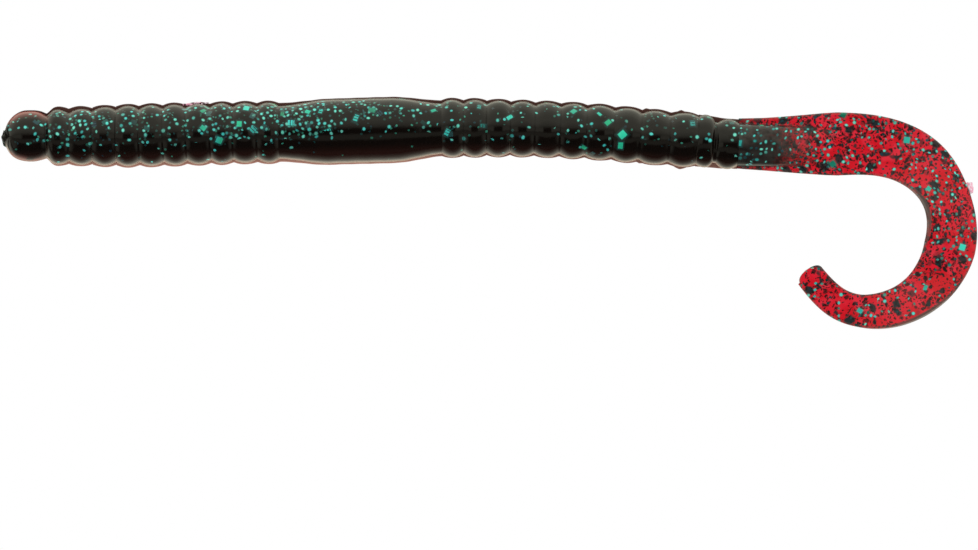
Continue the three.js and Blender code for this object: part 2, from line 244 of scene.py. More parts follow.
def find_grooves():
    """Where each body section ends, nose to tail."""
    ends = [STATIONS[0] + (STATIONS[2] - STATIONS[1]) / 2]
    for k in range(1, FRONT_RINGS + 1):
        ends.append(2 * STATIONS[k] - ends[-1])
    first_rear = FRONT_RINGS + 2
    ends.append(STATIONS[first_rear] - FIRST_REAR_PITCH / 2)
    for k in range(first_rear, first_rear + REAR_RINGS):
        ends.append(2 * STATIONS[k] - ends[-1])
    return np.array(ends)


GROOVES = find_grooves()
ROOT_START = GROOVES[-1]
SADDLE_START, SADDLE_STOP = GROOVES[FRONT_RINGS], GROOVES[FRONT_RINGS + 1]
RING_RADII = np.array([node_box(name + "_back")[1][2] / FACET_FLAT for name in CHAIN[: len(GROOVES)]])

# ---- Shapes ----


def smoothstep(low, high, value):
    t = np.clip((value - low) / (high - low), 0, 1)
    return t * t * (3 - 2 * t)


def bell(s, middle, spread):
    return np.exp(-(((s - middle) / spread) ** 2))


def ripple(s, a, seed):
    """A small smooth unevenness between -1 and 1."""
    first = np.sin(s * 0.83 + seed) * np.cos(a * 2.1 + 1.7 * seed)
    second = np.sin(s * 2.27 + 2.3 * seed + a * 1.3)
    return 0.6 * first + 0.4 * second


def lobe(u):
    """How far down from the crest, 0 to about 1, at u half ring lengths from it."""
    u = np.abs(u)
    past = np.clip((u - GROOVE_FILLET) / (1 - GROOVE_FILLET), 0, 1)
    eased = GROOVE_FILLET**2 + 2 * GROOVE_FILLET * (1 - GROOVE_FILLET) * (past - past**2 / 2)
    return np.where(u < GROOVE_FILLET, u**2, eased)


def head_radius(s):
    ahead = np.clip((HEAD_WIDEST - s) / (HEAD_WIDEST - NOSE_TIP), 0, 1)
    dome = HEAD_RADIUS * np.sqrt(np.clip(1 - ahead**NOSE_POWER, 0, 1))
    behind = np.clip((s - HEAD_WIDEST) / (GROOVES[0] - HEAD_WIDEST), 0, 1)
    return np.where(s < HEAD_WIDEST, dome, HEAD_RADIUS - HEAD_FALL * lobe(behind))


def saddle_radius(side, s, a):
    """The saddle swells out of the grooves at its two ends."""
    from_end = np.minimum(s - SADDLE_START, SADDLE_STOP - s)
    flush = smoothstep(SADDLE_FLUSH, SADDLE_TAPER, 0)
    rise = (smoothstep(SADDLE_FLUSH, SADDLE_TAPER, from_end) - flush) / (1 - flush)
    ahead = ring_radius(side, FRONT_RINGS, SADDLE_START, a)
    behind = ring_radius(side, FRONT_RINGS + 2, SADDLE_STOP, a)
    end = np.where(2 * s < SADDLE_START + SADDLE_STOP, ahead, behind)
    return end + (SADDLE_CROWN - end) * rise


def ring_radius(side, section, s, a):
    """A ring's radius. The belly's lobes are full only on its pads and nearly gone at the parting line. Its
    last two rings run into each other."""
    starts = np.concatenate([[0], GROOVES[:-1]])
    u = 2 * (s - starts[section]) / (GROOVES[section] - starts[section]) - 1
    drop = lobe(np.clip(u, -1, 1))
    depth = GROOVE_DEPTH * drop
    crest = RING_RADII[section]
    if side < 0:
        last = section >= min(END_RINGS)
        round_ = np.abs(a) + BELLY_PAD_TAPER * drop**2
        pad = 1 - smoothstep(BELLY_PAD - BELLY_FADE / 2, BELLY_PAD + BELLY_FADE, round_)
        depth = pad * depth + (1 - pad) * np.where(last, 0, BELLY_SEAM_GROOVE) * drop
        middles = [middle for middle, _, _ in END_RINGS.values()]
        crest = np.where(last, np.interp(s, middles, RING_RADII[list(END_RINGS)]), crest)
    return crest - depth


def end_ring_radius(section, s, a):
    """The back's last two rings are short domed lobes on a thinner neck."""
    middle, half, power = END_RINGS[section]
    u = np.clip(np.abs(s - middle) / half, 0, 1)
    beside = np.interp(s, END_NECK_STATIONS, END_NECK_SIDES)
    above = np.interp(s, END_NECK_STATIONS, END_NECK_TOPS)
    neck = superellipse(beside, above, a)
    return np.maximum(neck, neck + (RING_RADII[section] - neck) * (1 - u**2) ** power)


def superellipse(beside, above, a):
    """Radius at angle a of a rounded box with these half sizes."""
    reach = np.abs(np.sin(a) / beside) ** RIDGE_POWER + np.abs(np.cos(a) / above) ** RIDGE_POWER
    return reach ** (-1 / RIDGE_POWER)


def neck_step(side, s):
    step = NECK_STEP if side > 0 else 0
    return step * bell(s, NECK_STEP_AT, NECK_STEP_SPREAD) * smoothstep(0, NECK_STEP_RISE, s)


def off_centre(side, s):
    """How far a half is shifted across the lure at s, towards +Y."""
    return np.interp(s, REGISTER_STATIONS, OFF_CENTRE[side]) - neck_step(side, s)


def seam_tick(s, a):
    """Small corners of the belly half that stand out along the parting line."""
    total = 0 * s
    for middle, half, height, edge in TICKS:
        corner = np.clip(1 - np.abs(s - middle) / half, 0, 1) ** TICK_POWER
        total = total + height * corner * (a * edge > TICK_ANGLE)
    return total


def body_radius(side, s, a):
    """The body's radius at s, and at angle a from the back's or the belly's middle line."""
    section = np.clip(np.searchsorted(GROOVES, s, side="right"), 0, len(GROOVES) - 1)
    radius = ring_radius(side, section, s, a)
    if side > 0:
        for last in END_RINGS:
            radius = np.where(section == last, end_ring_radius(last, s, a), radius)
    radius = np.where(section == 0, head_radius(s), radius)
    radius = np.where(section == FRONT_RINGS + 1, saddle_radius(side, s, a), radius)
    if side < 0:
        radius = radius + seam_tick(s, a)
    radius = radius - np.interp(s, REGISTER_STATIONS, UNDERSIZE[side]) - neck_step(side, s)
    spread = np.where(s < GROOVES[0], *NECK_SPREADS)
    dip = np.where(s < GROOVES[0], *NECK_DIPS[side]) * bell(s, GROOVES[0], spread)
    radius = radius - dip + SKIN_RIPPLE * ripple(s, a, 3.0 * side) * smoothstep(*RIPPLE_FADE, s)
    radius = np.where(s < NOSE_TIP + 0.01, THINNEST, np.maximum(radius, THINNEST))
    from_seam = (math.pi / 2 - np.abs(a)) * radius
    gap = np.clip(SEAM_ROUND - from_seam, 0, SEAM_ROUND)
    return radius - np.minimum(SEAM_ROUND - np.sqrt(SEAM_ROUND**2 - gap**2), 0.5 * radius)


LIP_START, LIP_REACH = 0.05, 0.5  # how far up from the parting line the lip's colour is full, and is gone
SEAM_STEPS = np.array([0, 0.02, 0.05, 0.09, 0.14, 0.22, 0.34]) / BODY_RADIUS
SEAM_BAND = 0.12  # radians
FACE_ANGLES = np.linspace(-math.pi / 2 + SEAM_BAND, math.pi / 2 - SEAM_BAND, FACE_STEPS)
BODY_ANGLES = np.concatenate([-math.pi / 2 + SEAM_STEPS, FACE_ANGLES, (math.pi / 2 - SEAM_STEPS)[::-1]])


def body_grid(side, s):
    """A half of the round body, rows along s and columns round from -Y to +Y: across, up, s, arc and lip."""
    s, a = s[:, None], BODY_ANGLES[None, :]
    radius = body_radius(side, s, a)
    across = radius * np.sin(a) + off_centre(side, s)
    lip = 1 - smoothstep(LIP_START, LIP_REACH, (math.pi / 2 - np.abs(a)) * radius)
    return across, side * radius * np.cos(a), s + 0 * a, radius * a, lip


def plate_outline(s):
    """Upper half outline of the ribbon: (across, height) from -Y to +Y, rows along s."""
    width = np.interp(s, RIBBON_STATIONS, RIBBON_HALF_WIDTHS)[:, None]
    theta = np.linspace(math.pi / 2, 0, CORNER_STEPS)[None, :]
    corner = np.minimum(RIBBON_CORNER, CORNER_SHARE * width)
    edge = width - corner + corner * np.sin(theta)
    rise = RIBBON_THICKNESS / 2 - RIBBON_CORNER + RIBBON_CORNER * np.cos(theta) + 0 * width
    flat = np.linspace(1, -1, FACE_STEPS)[None, 1:-1] * (width - corner)
    across = np.concatenate([width, edge, flat, -edge[:, ::-1], -width], 1)[:, ::-1]
    level = np.full_like(flat, RIBBON_THICKNESS / 2)
    zero = np.zeros_like(width)
    return across, np.concatenate([zero, rise, level, rise[:, ::-1], zero], 1)


def ridged(across, height, s, tops):
    """The outline with the body's last ridge standing on it."""
    top = np.interp(s, RIDGE_STATIONS, tops)[:, None]
    half = np.interp(s, RIDGE_STATIONS, RIDGE_HALF_WIDTHS)[:, None]
    ridge = top * np.clip(1 - np.abs(across / half) ** RIDGE_POWER, 0, 1) ** (1 / RIDGE_POWER)
    over = ridge - height
    lift = 0.5 * (over + np.sqrt(over**2 + RIDGE_FILLET**2))
    near = 1 - smoothstep(half + RIDGE_MARGIN[0], half + RIDGE_MARGIN[1], np.abs(across))
    gone = smoothstep(RIDGE_STATIONS[-1], RIDGE_STATIONS[-3], s)[:, None]
    return height + lift * near * gone


def unrolled(across, height):
    """Distance round the outline from its middle, negative towards -Y."""
    steps = np.hypot(np.diff(across, axis=1), np.diff(height, axis=1))
    run = np.concatenate([np.zeros_like(steps[:, :1]), np.cumsum(steps, axis=1)], 1)
    return run - run[:, run.shape[1] // 2 : run.shape[1] // 2 + 1]


def ribbon_roll(s):
    """How far the ribbon leans out of its plane at s, in radians."""
    return sum(math.radians(angle) * bell(s, at, spread) for at, spread, angle in LEANS)


def plate_grid(side, s):
    """The upper (1) or lower (-1) face of the ribbon or the tail root: across, up, arc, core and wall."""
    across, height = plate_outline(s)
    if side > 0:
        height = height * (RISE_FLOOR + (1 - RISE_FLOOR) * smoothstep(RISE_START, RISE_END, s)[:, None])
    beside = across - RIDGE_OFF_CENTRE
    height = ridged(beside, height, s, RIDGE_TOP if side > 0 else RIDGE_UNDER)
    height = height + PLATE_RIPPLE * ripple(s[:, None], across, 7.0) * np.clip(height / 0.3, 0, 1)
    roll = ribbon_roll(s)[:, None]
    up = side * height
    width = np.abs(across[:, :1])
    wall = smoothstep(width - WALL_BAND[0], width - WALL_BAND[1], np.abs(across)) * wall_shade(s, across)
    leaned_across = across * np.cos(roll) - up * np.sin(roll)
    leaned_up = across * np.sin(roll) + up * np.cos(roll)
    return leaned_across, leaned_up, unrolled(across, height), core_share(s, beside), wall


def wall_shade(s, across):
    """How strongly the ribbon's edge is painted grey with shade and reflection at s: most where it leans over
    and shows its side.
    """
    inner, outer = (bell(s, at, spread)[:, None] for at, spread, _ in LEANS)
    return WALL_LEAST + WALL_LEAN * np.where(across < 0, inner, outer)


def core_share(s, across):
    """How far the dark pour covers the red: 1 on the body, 0 on the ribbon."""
    half = np.interp(s, RIDGE_STATIONS, RIDGE_HALF_WIDTHS)[:, None]
    beside = 1 - smoothstep(half - CORE_EDGE, half + CORE_EDGE, np.abs(across))
    return (1 - smoothstep(*CORE_FADE, s)[:, None]) * beside


# ---- Meshes ----


def grid_normals(points, closed):
    along = np.gradient(points, axis=0)
    around = np.roll(points, -1, 1) - np.roll(points, 1, 1) if closed else np.gradient(points, axis=1)
    normal = np.cross(along, around)
    return normal / np.maximum(np.linalg.norm(normal, axis=2, keepdims=True), 1e-12)


class Builder:
    """One closed mesh: a grid of side faces with its own normals, closed by flat faces."""

    def __init__(self, points, normals, closed, outward):
        self.rows, self.columns = points.shape[:2]
        self.points = points.reshape(-1, 3)
        self.normals = (normals * outward).reshape(-1, 3)
        self.closed = closed
        self.flip = outward < 0
        self.faces, self.loop_normals = [], []
        self.side_faces()

    def index(self, row, column):
        return row * self.columns + column % self.columns

    def add(self, corners, normal=None):
        corners = corners[::-1] if self.flip else corners
        self.faces.append(corners)
        self.loop_normals += [tuple(self.normals[c]) if normal is None else tuple(normal) for c in corners]

    def quad(self, row, column, beside):
        places = (row, column), (row + 1, column), (row + 1, beside), (row, beside)
        return [self.index(*place) for place in places]

    def side_faces(self):
        for i in range(self.rows - 1):
            for j in range(self.columns if self.closed else self.columns - 1):
                self.add(self.quad(i, j, j + 1))

    def flat(self, corners):
        p = self.points[corners]
        middle = p.mean(0)
        normal = np.cross(p - middle, np.roll(p, -1, 0) - middle).sum(0)
        length = np.linalg.norm(normal)
        normal = normal / length if length > 1e-18 else np.array([0.0, 0.0, 1.0])
        self.add(corners, -normal if self.flip else normal)

    def close_ends(self):
        self.flat([self.index(0, j) for j in range(self.columns)])
        self.flat([self.index(self.rows - 1, j) for j in reversed(range(self.columns))])

    def close_seam(self):
        """The flat face along the parting plane, between the first column and the last."""
        for i in range(self.rows - 1):
            self.flat(self.quad(i, self.columns - 1, 0))

    def make(self, name, attributes, material):
        mesh = bpy.data.meshes.new(name)
        mesh.from_pydata([tuple(p) for p in self.points], [], self.faces)
        mesh.shade_smooth()
        mesh.normals_split_custom_set(self.loop_normals)
        for key, values in attributes.items():
            values = np.asarray(values, np.float32)
            kind, field = ("FLOAT_VECTOR", "vector") if values.ndim == 2 else ("FLOAT", "value")
            layer = mesh.attributes.new(key, kind, "POINT")
            layer.data.foreach_set(field, values.ravel())
        mesh.materials.append(material)
        mesh.update()
        obj = bpy.data.objects.new(name, mesh)
        bpy.context.scene.collection.objects.link(obj)
        return obj


def place_on(obj, section, stretch, nodes):
    """Fixes a piece to its section's body or, given a stretch of the spine, only applies its transform and
    leaves it on no body.
    """
    if stretch is None:
        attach(obj, CHAIN[section])
    else:
        start, end = (tuple(SPINE.world(s, 0.0, 0.0)) for s in stretch)
        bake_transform(obj)
    if nodes:
        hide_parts(*nodes)


def spaced(start, end, count):
    """Places from start to end, closer together near both, where the grooves are."""
    share = np.linspace(0, 1, count)
    eased = 0.5 - 0.5 * np.cos(math.pi * share)
    return start + (end - start) * (0.35 * share + 0.65 * eased)


def extended(s):
    """One more row at each end, for the normals only."""
    step = 0.02
    return np.concatenate([[s[0] - step], s, [s[-1] + step]])


def marks(points, flat, **values):
    """What the materials read: the place at rest, the unrolled place, and shares between 0 and 1."""
    made = {"rest": points.reshape(-1, 3) / MM, "skin": flat.reshape(-1, 3)}
    for key in ("core", "lip", "wall"):
        made[key] = np.ravel(values[key]) if key in values else np.zeros(len(made["rest"]))
    return made


def half_name(section, side):
    return CHAIN[section] + ("_back" if side > 0 else "_belly")


def half_skin(section, side, points, attributes, material):
    """A skin over one half, closed at its ends and along the parting plane. The points have a row too many at
    each end."""
    normals = grid_normals(points, closed=False)[1:-1]
    made = Builder(points[1:-1], normals, closed=False, outward=-side)
    made.close_ends()
    made.close_seam()
    return made.make(half_name(section, side) + "_skin", attributes, material)


def body_piece(section, side, material):
    start = NOSE_TIP if section == 0 else GROOVES[section - 1]
    end = GROOVES[section]
    if section == 0:
        s = start + (end - start) * np.linspace(0, 1, HEAD_ROWS) ** HEAD_CROWDING
    else:
        s = spaced(start, end, SADDLE_ROWS if CHAIN[section] == "saddle" else RING_ROWS)
    across, up, along, arc, lip = body_grid(side, extended(s))
    points = SPINE.world(along, across, up)
    flat = np.stack([along, arc, 0 * along + side], -1)[1:-1]
    obj = half_skin(section, side, points, marks(points[1:-1], flat, lip=lip[1:-1]), material)
    bend_start = max(start, 2 * STATIONS[section] - end)
    place_on(obj, section, (bend_start, end), [half_name(section, side)])


def plate_marks(points, s, side, arc, core, wall):
    flat = SPINE.world(s[:, None], arc, 0 * arc + side * MM) / MM
    flat[:, :, 2] = side
    return marks(points, flat, core=core, wall=wall)


def root_piece(section, side, material, end):
    s = extended(np.linspace(ROOT_START, end, ROOT_ROWS))
    across, up, *rest = plate_grid(side, s)
    points = SPINE.world(s[:, None], across, up)
    inner = [values[1:-1] for values in rest]
    attributes = plate_marks(points[1:-1], s[1:-1], side, *inner)
    obj = half_skin(section, side, points, attributes, material)
    place_on(obj, section - 1, (ROOT_START, end), [half_name(section, side)])


def tip_outline(s, across):
    """Narrows the ribbon's last stretch to its rounded tab, which is cut back more on the outer side."""
    start, end = SPINE.length - TAB_START, SPINE.length + TAB_REACH
    share = np.clip((s - start) / (end - start), 0, 1)[:, None]
    kept = np.where(across > 0, *TAB_SHARES)
    return across * np.where(share > 0, kept * np.sqrt(np.clip(1 - share**2, 0.0004, 1)), 1)


def ribbon_piece(name, start, end, count, material, tab=False):
    s = extended(np.linspace(start, end, count))
    upper = plate_grid(1, s)
    lower = plate_grid(-1, s)
    across, up, arc, core, wall = (np.concatenate([u, l[:, -2:0:-1]], 1) for u, l in zip(upper, lower))
    side = np.ones_like(arc)
    side[:, upper[0].shape[1] :] = -1
    if tab:
        across = tip_outline(s, across)
    points = SPINE.world(s[:, None], across, up)
    normals = grid_normals(points, closed=True)[1:-1]
    made = Builder(points[1:-1], normals, closed=True, outward=-1)
    made.close_ends()
    inner = [values[1:-1] for values in (arc, core, wall)]
    return made.make(name, plate_marks(points[1:-1], s[1:-1], side[1:-1], *inner), material)


def ribbon_stretches():
    """The ribbon's stretches, each with one joint inside it: section ahead of the joint, start and end."""
    root = CHAIN.index("tail_root")
    joints = STATIONS[root:]
    middles = [2 * joints[0] - (joints[0] + joints[1]) / 2]
    middles += [(a + b) / 2 for a, b in zip(joints, joints[1:])]
    middles.append((joints[-1] + SPINE.length) / 2)
    return [(root + i, start, end) for i, (start, end) in enumerate(zip(middles, middles[1:]))]


def build_ribbon(material):
    """The ribbon stretch by stretch, then the tip. Gives the place where the tail root has to end."""
    stretches = ribbon_stretches()
    for section, start, end in stretches:
        name = CHAIN[section + 1]
        obj = ribbon_piece(name + "_skin", start, end, RIBBON_ROWS, material)
        place_on(obj, section, (start, end), [name])
    tip = ribbon_piece("ribbon_tip", end, SPINE.length + TAB_REACH, TIP_ROWS, material, tab=True)
    place_on(tip, len(CHAIN) - 1, None, [CHAIN[-1]])
    return stretches[0][1]


# ---- Small mould marks ----


def lump(name, middle, size, turn, ragged, seed, material):
    """A small torn lump at (x, y, z), size (long, wide, tall), its long side at an angle to X."""
    polar = np.linspace(0.02, math.pi - 0.02, LUMP_ROWS)[:, None]
    angle = np.linspace(0, 2 * math.pi, LUMP_COLUMNS, endpoint=False)[None, :]
    waves = np.sin(3 * angle + seed) * np.sin(2 * polar) + 0.7 * np.sin(5 * angle + 3 * polar + 2 * seed)
    waves = waves + 0.6 * np.sin(7 * polar + 1.3 * seed + 2 * angle)
    radius = 1 + ragged * waves * np.sin(polar)
    x = size[0] / 2 * radius * np.cos(polar) + 0 * angle
    y = size[1] / 2 * radius * np.sin(polar) * np.cos(angle)
    z = size[2] / 2 * radius * np.sin(polar) * np.sin(angle)
    cos, sin = math.cos(turn), math.sin(turn)
    place = np.stack([middle[0] + x * cos - y * sin, middle[1] + x * sin + y * cos, middle[2] + z], -1) * MM
    normals = grid_normals(place, closed=True)
    outward = 1 if np.sum((place - place.mean((0, 1))) * normals) > 0 else -1
    made = Builder(place, normals, closed=True, outward=outward)
    made.close_ends()
    return made.make(name, marks(place, place / MM), material)


def build_marks(materials):
    """The torn gate on the nose, the vent stub on the ribbon's edge, and crumbs of flash beside the rings."""
    low, high = node_box("nose_gate")
    middle = (low + high) / 2 + GATE_OFFSET
    gate = lump("nose_gate_nub", middle, GATE_SIZE, GATE_TURN, 0.2, 1.0, materials["back"])
    place_on(gate, 0, None, ["nose_gate"])

    reach = np.interp(VENT_STATION, RIBBON_STATIONS, RIBBON_HALF_WIDTHS) + VENT_OVERHANG
    roll = ribbon_roll(VENT_STATION)
    vent = SPINE.world(VENT_STATION, reach * np.cos(roll), reach * np.sin(roll)) / MM
    stub = lump("vent_stub", vent, VENT_SIZE, SPINE.at(VENT_STATION)[2], 0.22, 4.0, materials["flash"])
    for section, start, end in ribbon_stretches():
        if start <= VENT_STATION < end:
            place_on(stub, section, (start, end), [])

    for i, (s, size) in enumerate(FLASH):
        edge = body_radius(-1, np.array(s), math.pi / 2) + off_centre(-1, s)
        place = SPINE.world(s, edge, FLASH_HEIGHT) / MM
        crumb = lump(f"flash_{i + 1}", place, size, 0.1 * i, 0.25, 2.0 + i, materials["flash"])
        place_on(crumb, CHAIN.index("front_ring_07"), None, [])


# ---- Node helpers ----


class Nodes:
    """Short calls for building a node tree."""

    def __init__(self, tree):
        self.tree = tree
        tree.nodes.clear()

    def node(self, kind, **settings):
        made = self.tree.nodes.new("ShaderNode" + kind)
        for key, value in settings.items():
            setattr(made, key, value)
        return made

    def feed(self, socket, value):
        if isinstance(value, bpy.types.NodeSocket):
            self.tree.links.new(value, socket)
        elif value is not None:
            socket.default_value = value

    def fill(self, made, values):
        for key, value in values.items():
            self.feed(made.inputs[key], value)

    def result(self, kind, values, output=0, **settings):
        """An output of a new node that has these inputs."""
        made = self.node(kind, **settings)
        self.fill(made, values)
        return made.outputs[output]

    def math(self, operation, a, b=None, c=None, clamp=False):
        return self.result("Math", {0: a, 1: b, 2: c}, operation=operation, use_clamp=clamp)

    def times(self, a, b):
        return self.math("MULTIPLY", a, b)

    def vector(self, operation, a, b=None, scale=None):
        output = 1 if operation == "DOT_PRODUCT" else 0
        return self.result("VectorMath", {0: a, 1: b, 3: scale}, output, operation=operation)

    def split(self, vector):
        made = self.node("SeparateXYZ")
        self.feed(made.inputs[0], vector)
        return made.outputs

    def join(self, x, y, z):
        return self.result("CombineXYZ", {0: x, 1: y, 2: z})

    def ramp(self, value, low, high, to_low=0.0, to_high=1.0):
        """A smooth step from to_low at low to to_high at high."""
        values = dict(enumerate((value, low, high, to_low, to_high)))
        return self.result("MapRange", values, interpolation_type="SMOOTHSTEP")

    def mix(self, share, a, b):
        a, b = ((*colour, 1) if isinstance(colour, tuple) else colour for colour in (a, b))
        return self.result("Mix", {0: share, 6: a, 7: b}, 2, data_type="RGBA")

    def blend(self, share, a, b):
        """A number between a and b."""
        return self.result("Mix", {0: share, 2: a, 3: b}, data_type="FLOAT")

    def turn(self, vector, angle):
        return self.result("VectorRotate", {"Vector": vector, "Angle": angle}, rotation_type="Z_AXIS")

    def curve(self, value, low, high, points):
        """A number that follows (value, height) points, in straight steps."""
        made = self.node("ValToRGB")
        ramp = made.color_ramp
        while len(ramp.elements) < len(points):
            ramp.elements.new(1.0)
        for element, (place, height) in zip(ramp.elements, points):
            element.position = (place - low) / (high - low)
            element.color = (height, height, height, 1)
        self.feed(made.inputs[0], self.math("DIVIDE", self.math("SUBTRACT", value, low), high - low))
        return made.outputs[0]

    def in_mirrors(self, level):
        """White, but this level of warm light in reflections."""
        glossy = self.node("LightPath").outputs["Is Glossy Ray"]
        return self.mix(glossy, (1.0, 1.0, 1.0), self.join(*(self.times(level, share) for share in WARMTH)))

    def attribute(self, name, output="Fac"):
        return self.node("Attribute", attribute_name=name).outputs[output]

    def noise(self, vector, scale, detail=2.0, roughness=0.5, output="Fac"):
        values = {"Vector": vector, "Scale": scale, "Detail": detail, "Roughness": roughness}
        return self.result("TexNoise", values, output)


# ---- Glitter ----

TEAL, CYAN, GREEN = (0.13, 0.95, 0.68), (0.07, 0.86, 0.84), (0.03, 0.80, 0.42)
MINT = (0.24, 0.96, 0.76)
DEEP_TEAL, DEEP_BLUE = (0.02, 0.11, 0.10), (0.018, 0.055, 0.085)
VIOLET = (0.05, 0.05, 0.21)
NEAR_BLACK, SOOT, SMOKE = (0.008, 0.007, 0.007), (0.016, 0.010, 0.010), (0.014, 0.024, 0.026)
RUST = (0.065, 0.010, 0.008)
LAYER_TURN, LAYER_SHIFT = 0.7, (13.7, 7.3, 0)  # from one layer's grid of flakes to the next one's
SCATTER = 0.72  # how far flakes stray from their grid
LEAST_SIZE, SIZE_SPREAD = 0.72, 0.4  # of a layer's half size
UNSTRIPED = 0.72  # share of the flakes of a striped layer that are plain
FLAKE_TILT, FLAKE_METAL = 0.7, 0.75


class Glitter:
    """A colour with layers of flakes laid over it."""

    def __init__(self, n, place, colour):
        self.n, self.place, self.colour = n, place, colour
        self.metal, self.tilt, self.layers = 0.0, (0.0, 0.0, 0.0), 0

    def flakes(self, cell, half, keep, square, thinnest, soft, bars):
        """One flake to a cell: the flakes' mask, a wider halo, and three random values of each flake."""
        n = self.n
        self.layers += 1
        turned = n.turn(self.place, LAYER_TURN * self.layers)
        moved = n.vector("ADD", turned, [shift * self.layers for shift in LAYER_SHIFT])
        cells = n.vector("SCALE", moved, scale=1 / cell)
        voronoi = n.node("TexVoronoi", voronoi_dimensions="2D", feature="F1")
        n.fill(voronoi, {"Scale": 1, "Randomness": SCATTER, "Vector": cells})
        local = n.vector("SCALE", n.vector("SUBTRACT", cells, voronoi.outputs["Position"]), scale=cell)
        values = {"Vector": voronoi.outputs["Position"]}
        white = n.result("TexWhiteNoise", values, "Color", noise_dimensions="2D")
        first, second = n.split(voronoi.outputs["Color"]), n.split(white)
        x, y, _ = n.split(n.turn(local, n.times(first[0], math.pi)))
        size = n.math("MULTIPLY_ADD", second[1], SIZE_SPREAD * half, LEAST_SIZE * half)
        narrow = n.times(size, n.math("MULTIPLY_ADD", first[1], 1 - thinnest, thinnest))
        dx = n.math("DIVIDE", n.math("ABSOLUTE", x), size)
        dy = n.math("DIVIDE", n.math("ABSOLUTE", y), narrow)
        reach = n.math("SQRT", n.math("ADD", n.times(dx, dx), n.times(dy, dy)))
        if square > 0:
            reach = n.blend(square, reach, n.math("MAXIMUM", dx, dy))
        mask = n.ramp(reach, 1 + soft, 1 - soft)
        if bars:
            wave = n.math("SINE", n.times(x, 2 * math.pi / bars))
            between = n.ramp(wave, -0.75, -0.35)
            striped = n.math("GREATER_THAN", second[0], UNSTRIPED)
            mask = n.times(mask, n.blend(striped, 1.0, between))
        kept = n.math("LESS_THAN", first[2], keep)
        return n.times(mask, kept), n.times(n.ramp(reach, 2.0, 1.0), kept), second

    def bright(
        self, cell, half, keep, hues, shade=(0.4, 1.0), square=0.0, thinnest=0.6, soft=0.16, bars=0, halo=0.0
    ):
        """Shiny flakes between two hues and two brightnesses. bars is the pitch of a large flake's stripes,
        and halo how dark it is around a flake."""
        n = self.n
        mask, wide, random = self.flakes(cell, half, keep, square, thinnest, soft, bars)
        if halo > 0:
            self.colour = n.mix(n.times(wide, halo), self.colour, DEEP_TEAL)
        light = n.math("MULTIPLY_ADD", n.math("POWER", random[2], 0.8), shade[1] - shade[0], shade[0])
        lit = n.node("Mix", data_type="RGBA", blend_type="MULTIPLY")
        lit.inputs[0].default_value = 1
        n.feed(lit.inputs[6], n.mix(random[0], *hues))
        n.feed(lit.inputs[7], n.join(light, light, light))
        self.colour = n.mix(mask, self.colour, lit.outputs[2])
        lean = n.vector("SUBTRACT", n.join(*random), (0.5, 0.5, 0.5))
        self.tilt = n.vector("ADD", self.tilt, n.vector("SCALE", lean, scale=n.times(mask, FLAKE_TILT)))
        self.metal = n.math("MAXIMUM", self.metal, mask)

    def dark(self, cell, half, keep, shade, strength=(0.6, 1.0), square=0.0, thinnest=0.4, soft=0.2):
        """Dull specks of one colour."""
        n = self.n
        mask, _, random = self.flakes(cell, half, keep, square, thinnest, soft, 0)
        depth = n.math("MULTIPLY_ADD", random[2], strength[1] - strength[0], strength[0])
        self.colour = n.mix(n.times(mask, depth), self.colour, shade)


# ---- Materials ----

BACK_BROWN, BACK_BLACK = (0.0052, 0.0026, 0.0017), (0.0016, 0.0013, 0.0012)
BACK_LOW = (0.013, 0.0035, 0.0025)
CORE_BROWN = (0.044, 0.038, 0.032)
CORE_SHADE_SIDE = (-0.2, -1.3)  # y where the core's dark lower side starts and is full
CORE_SHADE_END = (112, 119)  # x where that shade starts to fade and is gone
# The back's pale lip colour is a painted sheen on the ledge along the parting line.
BACK_LIP_SHEEN, BACK_GLOW, BACK_SHEEN = (0.11, 0.095, 0.075), (0.66, 0.50, 0.37), (0.42, 0.38, 0.30)
# The belly's red is its own colour, painted bright in patches as if light shone through its thin sides.
BELLY_BROWN, BELLY_RED_GLOW = (0.020, 0.0042, 0.0036), (0.20, 0.0035, 0.006)
# BELLY_LIT_LIP is painted light: the lip as if lit through from the table below.
BELLY_LIP, HEAD_LIP, BELLY_LIT_LIP = (0.085, 0.036, 0.028), (0.06, 0.018, 0.015), (0.50, 0.25, 0.19)
BELLY_GLOW, HEAD_GLOW = (0.22, 0.05, 0.04), (0.40, 0.09, 0.07)
RIBBON_RED, RIBBON_DEEP, RIBBON_PALE = (0.68, 0.012, 0.028), (0.60, 0.005, 0.014), (0.70, 0.022, 0.042)
CORE_RED, ROOT_RED = (0.060, 0.008, 0.008), (0.075, 0.010, 0.010)
# Painted shade and reflection on the ribbon's edge wall, where it leans over and shows its side.
WALL_GREY = (0.095, 0.072, 0.060)
FLASH_PINK, FLASH_WHITE = (0.93, 0.42, 0.55), (0.95, 0.78, 0.83)
RIBBON_SPECKS = [
    (0.42, 0.11, 0.55, RUST, (0.5, 0.95), 0.0, 0.5, 0.2),
    (1.5, 0.4, 0.5, SMOKE, (0.4, 0.9), 0.3, 0.4, 0.5),
    (2.0, 0.5, 0.36, SMOKE, (0.8, 1.0), 0.7, 0.35, 0.25),
    (2.9, 0.8, 0.75, SMOKE, (0.95, 1.0), 0.2, 0.35, 0.3),
    (1.0, 0.34, 0.68, SOOT, (0.8, 1.0), 0.4, 0.3, 0.3),
    (0.7, 0.2, 0.8, SOOT, (0.8, 1.0), 0.2, 0.45, 0.3),
    (0.55, 0.15, 0.68, NEAR_BLACK, (0.8, 1.0), 0.0, 0.5, 0.3),
]  # cell, half size, share kept, colour, strength, squareness, thinnest and softness


def start_material(name):
    """A new material, its nodes, and the places at rest and unrolled."""
    material = bpy.data.materials.new(name)
    material.use_nodes = True
    n = Nodes(material.node_tree)
    return material, n, n.attribute("rest", "Vector"), n.attribute("skin", "Vector")


